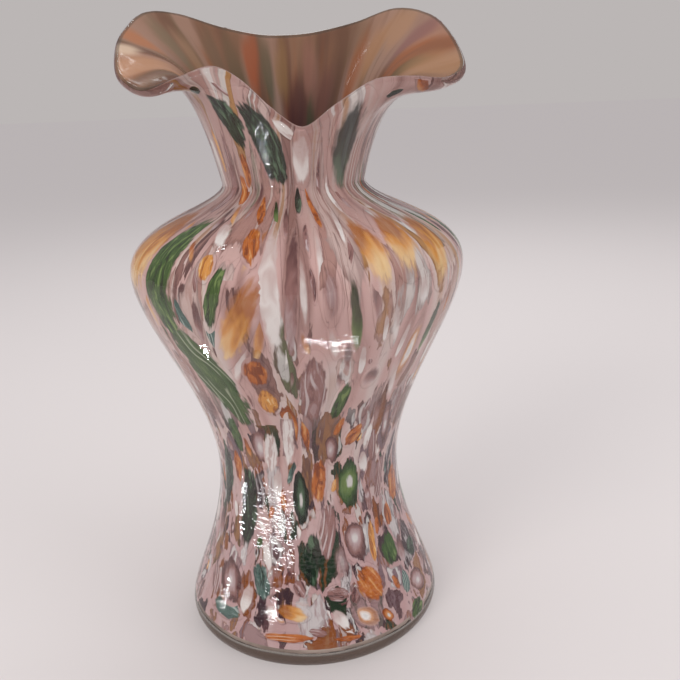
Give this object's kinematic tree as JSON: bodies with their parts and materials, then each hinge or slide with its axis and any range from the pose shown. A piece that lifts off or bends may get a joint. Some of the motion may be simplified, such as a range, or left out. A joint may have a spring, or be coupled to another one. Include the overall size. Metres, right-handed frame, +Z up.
{
  "type": "vase",
  "caption": "Blown glass vase with a narrow waist, full shoulder and ruffled collar; streaks of coloured glass lie under a clear casing.",
  "frame": {"origin": "middle of the foot, on the surface the vase stands on", "axes": "+Z up; the low dip of the ruffled collar, the front, faces -Y; the two wings of the collar point to -X and +X"},
  "size_m": [0.1501, 0.1484, 0.2841],
  "materials": {
    "clear_glass": "fire polished, clear",
    "lining_glass": "fire polished, opaque pink and tan",
    "amber_glass": "opaque coloured glass under the clear casing",
    "orange_glass": "opaque coloured glass under the clear casing",
    "green_glass": "opaque coloured glass under the clear casing",
    "dark_green_glass": "opaque coloured glass under the clear casing",
    "white_glass": "opaque coloured glass under the clear casing",
    "mauve_glass": "opaque coloured glass under the clear casing",
    "teal_glass": "opaque coloured glass under the clear casing"
  },
  "bodies": {
    "root": {"clear_casing": "clear_glass", "inner_gather": "lining_glass", "green_neck_edge": "dark_green_glass", "green_neck_left": "dark_green_glass", "orange_neck_left": "orange_glass", "white_neck": "white_glass", "green_neck_right": "dark_green_glass", "green_crescent": "green_glass", "green_tail": "green_glass", "amber_shoulder": "amber_glass", "white_left_shoulder": "white_glass", "amber_oval_left": "amber_glass", "green_feather_left": "green_glass", "orange_chest": "orange_glass", "amber_chest": "amber_glass", "orange_waist_left": "orange_glass", "amber_waist_left": "amber_glass", "white_chest": "white_glass", "mauve_chest": "mauve_glass", "mauve_teardrop": "mauve_glass", "green_sliver_right": "green_glass", "amber_shoulder_right_front": "amber_glass", "amber_shoulder_right": "amber_glass", "amber_shoulder_far_right": "amber_glass", "white_shoulder_right": "white_glass", "mauve_fan": "mauve_glass", "green_leaf_right": "green_glass", "white_oval_front": "white_glass", "white_oval_left": "white_glass", "orange_yellow_right": "orange_glass", "orange_oval": "orange_glass", "green_ringed_oval": "green_glass", "green_oval_front": "dark_green_glass", "green_oval_hip": "dark_green_glass", "green_oval_left": "dark_green_glass", "green_waist_left": "green_glass", "orange_side_right": "orange_glass", "green_oval_right": "green_glass", "mauve_oval_right": "mauve_glass", "orange_hip": "orange_glass", "white_hip_right": "white_glass", "white_hip": "white_glass", "mauve_hip": "mauve_glass", "amber_hip": "amber_glass", "teal_hip": "teal_glass", "mauve_hip_left": "mauve_glass", "green_neck_back": "dark_green_glass", "orange_neck_back": "orange_glass", "green_side_right": "green_glass", "orange_shoulder_right_back": "orange_glass", "mauve_fan_right_back": "mauve_glass", "amber_shoulder_back": "amber_glass", "green_crescent_back": "green_glass", "white_streak_back": "white_glass", "amber_shoulder_left_back": "amber_glass", "green_side_left": "green_glass", "orange_oval_back": "orange_glass", "green_oval_back": "dark_green_glass", "mauve_hip_right_back": "mauve_glass", "teal_hip_left_back": "teal_glass"}
  },
  "joints": []
}
